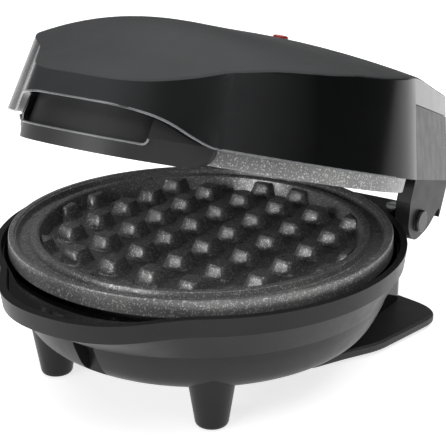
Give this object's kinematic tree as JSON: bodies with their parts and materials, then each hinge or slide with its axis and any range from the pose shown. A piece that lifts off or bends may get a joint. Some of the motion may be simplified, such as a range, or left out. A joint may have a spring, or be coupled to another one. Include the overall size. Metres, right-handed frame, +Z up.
{
  "type": "mini waffle maker",
  "caption": "Compact round countertop waffle maker with a hinged domed lid, gridded non-stick plates, a front grip lobe, conical front feet and a flat rear stand",
  "frame": {"origin": "middle of the part's bounding box on the table plane, with the lid at its rest angle", "axes": "+Z up from the table, -Y toward the user at the grip lobe, +Y toward the hinge, +X to the right seen from the user"},
  "size_m": [0.1484, 0.1979, 0.1289],
  "materials": {
    "lid_gloss": "smooth gloss black phenolic-look moulding",
    "body_satin": "fine-grained satin black moulding",
    "trim_gloss": "polished black moulding",
    "panel_matte": "matte dark grey moulding",
    "nonstick": "cast aluminium with dark speckled non-stick coating",
    "bright_aluminium": "mill-finish sheet",
    "heater_steel": "oxidised steel tube",
    "zinc_steel": "zinc-plated",
    "pin_steel": "blackened steel",
    "rubber_black": "soft matte",
    "bush_nylon": "natural nylon",
    "terminal_white": "heat-resistant moulding",
    "lens_red": "translucent red",
    "lamp_amber": "small neon lamp",
    "ceramic_cream": "unglazed ceramic"
  },
  "bodies": {
    "base": {"base_bowl": "body_satin", "base_collar": "trim_gloss", "lower_plate": "nonstick", "lower_heating_element": "heater_steel", "lower_heat_reflector": "bright_aluminium", "lower_thermostat": "zinc_steel", "base_screws": "zinc_steel", "terminal_block": "terminal_white", "front_foot_left": "body_satin", "front_foot_right": "body_satin", "front_foot_pads": "rubber_black", "rear_column": "trim_gloss", "cord_gland": "rubber_black", "rear_stand_plate": "panel_matte", "rear_stand_pads": "rubber_black", "stand_screws": "zinc_steel", "hinge_pins": "pin_steel"},
    "lid": {"lid_top_cover": "lid_gloss", "lid_rear_housing": "panel_matte", "hinge_arm_left": "panel_matte", "hinge_arm_right": "panel_matte", "hinge_bushes": "bush_nylon", "handle_front_panel": "panel_matte", "lid_inner_ring": "trim_gloss", "handle_lower_plate": "trim_gloss", "upper_plate": "nonstick", "upper_heating_element": "heater_steel", "upper_heat_reflector": "bright_aluminium", "upper_thermal_cutout": "zinc_steel", "upper_plate_screws": "zinc_steel", "thermal_fuse": "ceramic_cream", "fuse_clip": "bright_aluminium", "indicator_lens": "lens_red", "indicator_lamp": "lamp_amber", "lamp_bracket": "terminal_white", "lid_screws": "zinc_steel"}
  },
  "joints": [
    {"name": "lid_hinge", "type": "hinge", "parent": "base", "child": "lid", "pos_m": [0, 0.0614, 0.04], "axis": [-1, 0, 0], "range_deg": [-18, 82]}
  ]
}
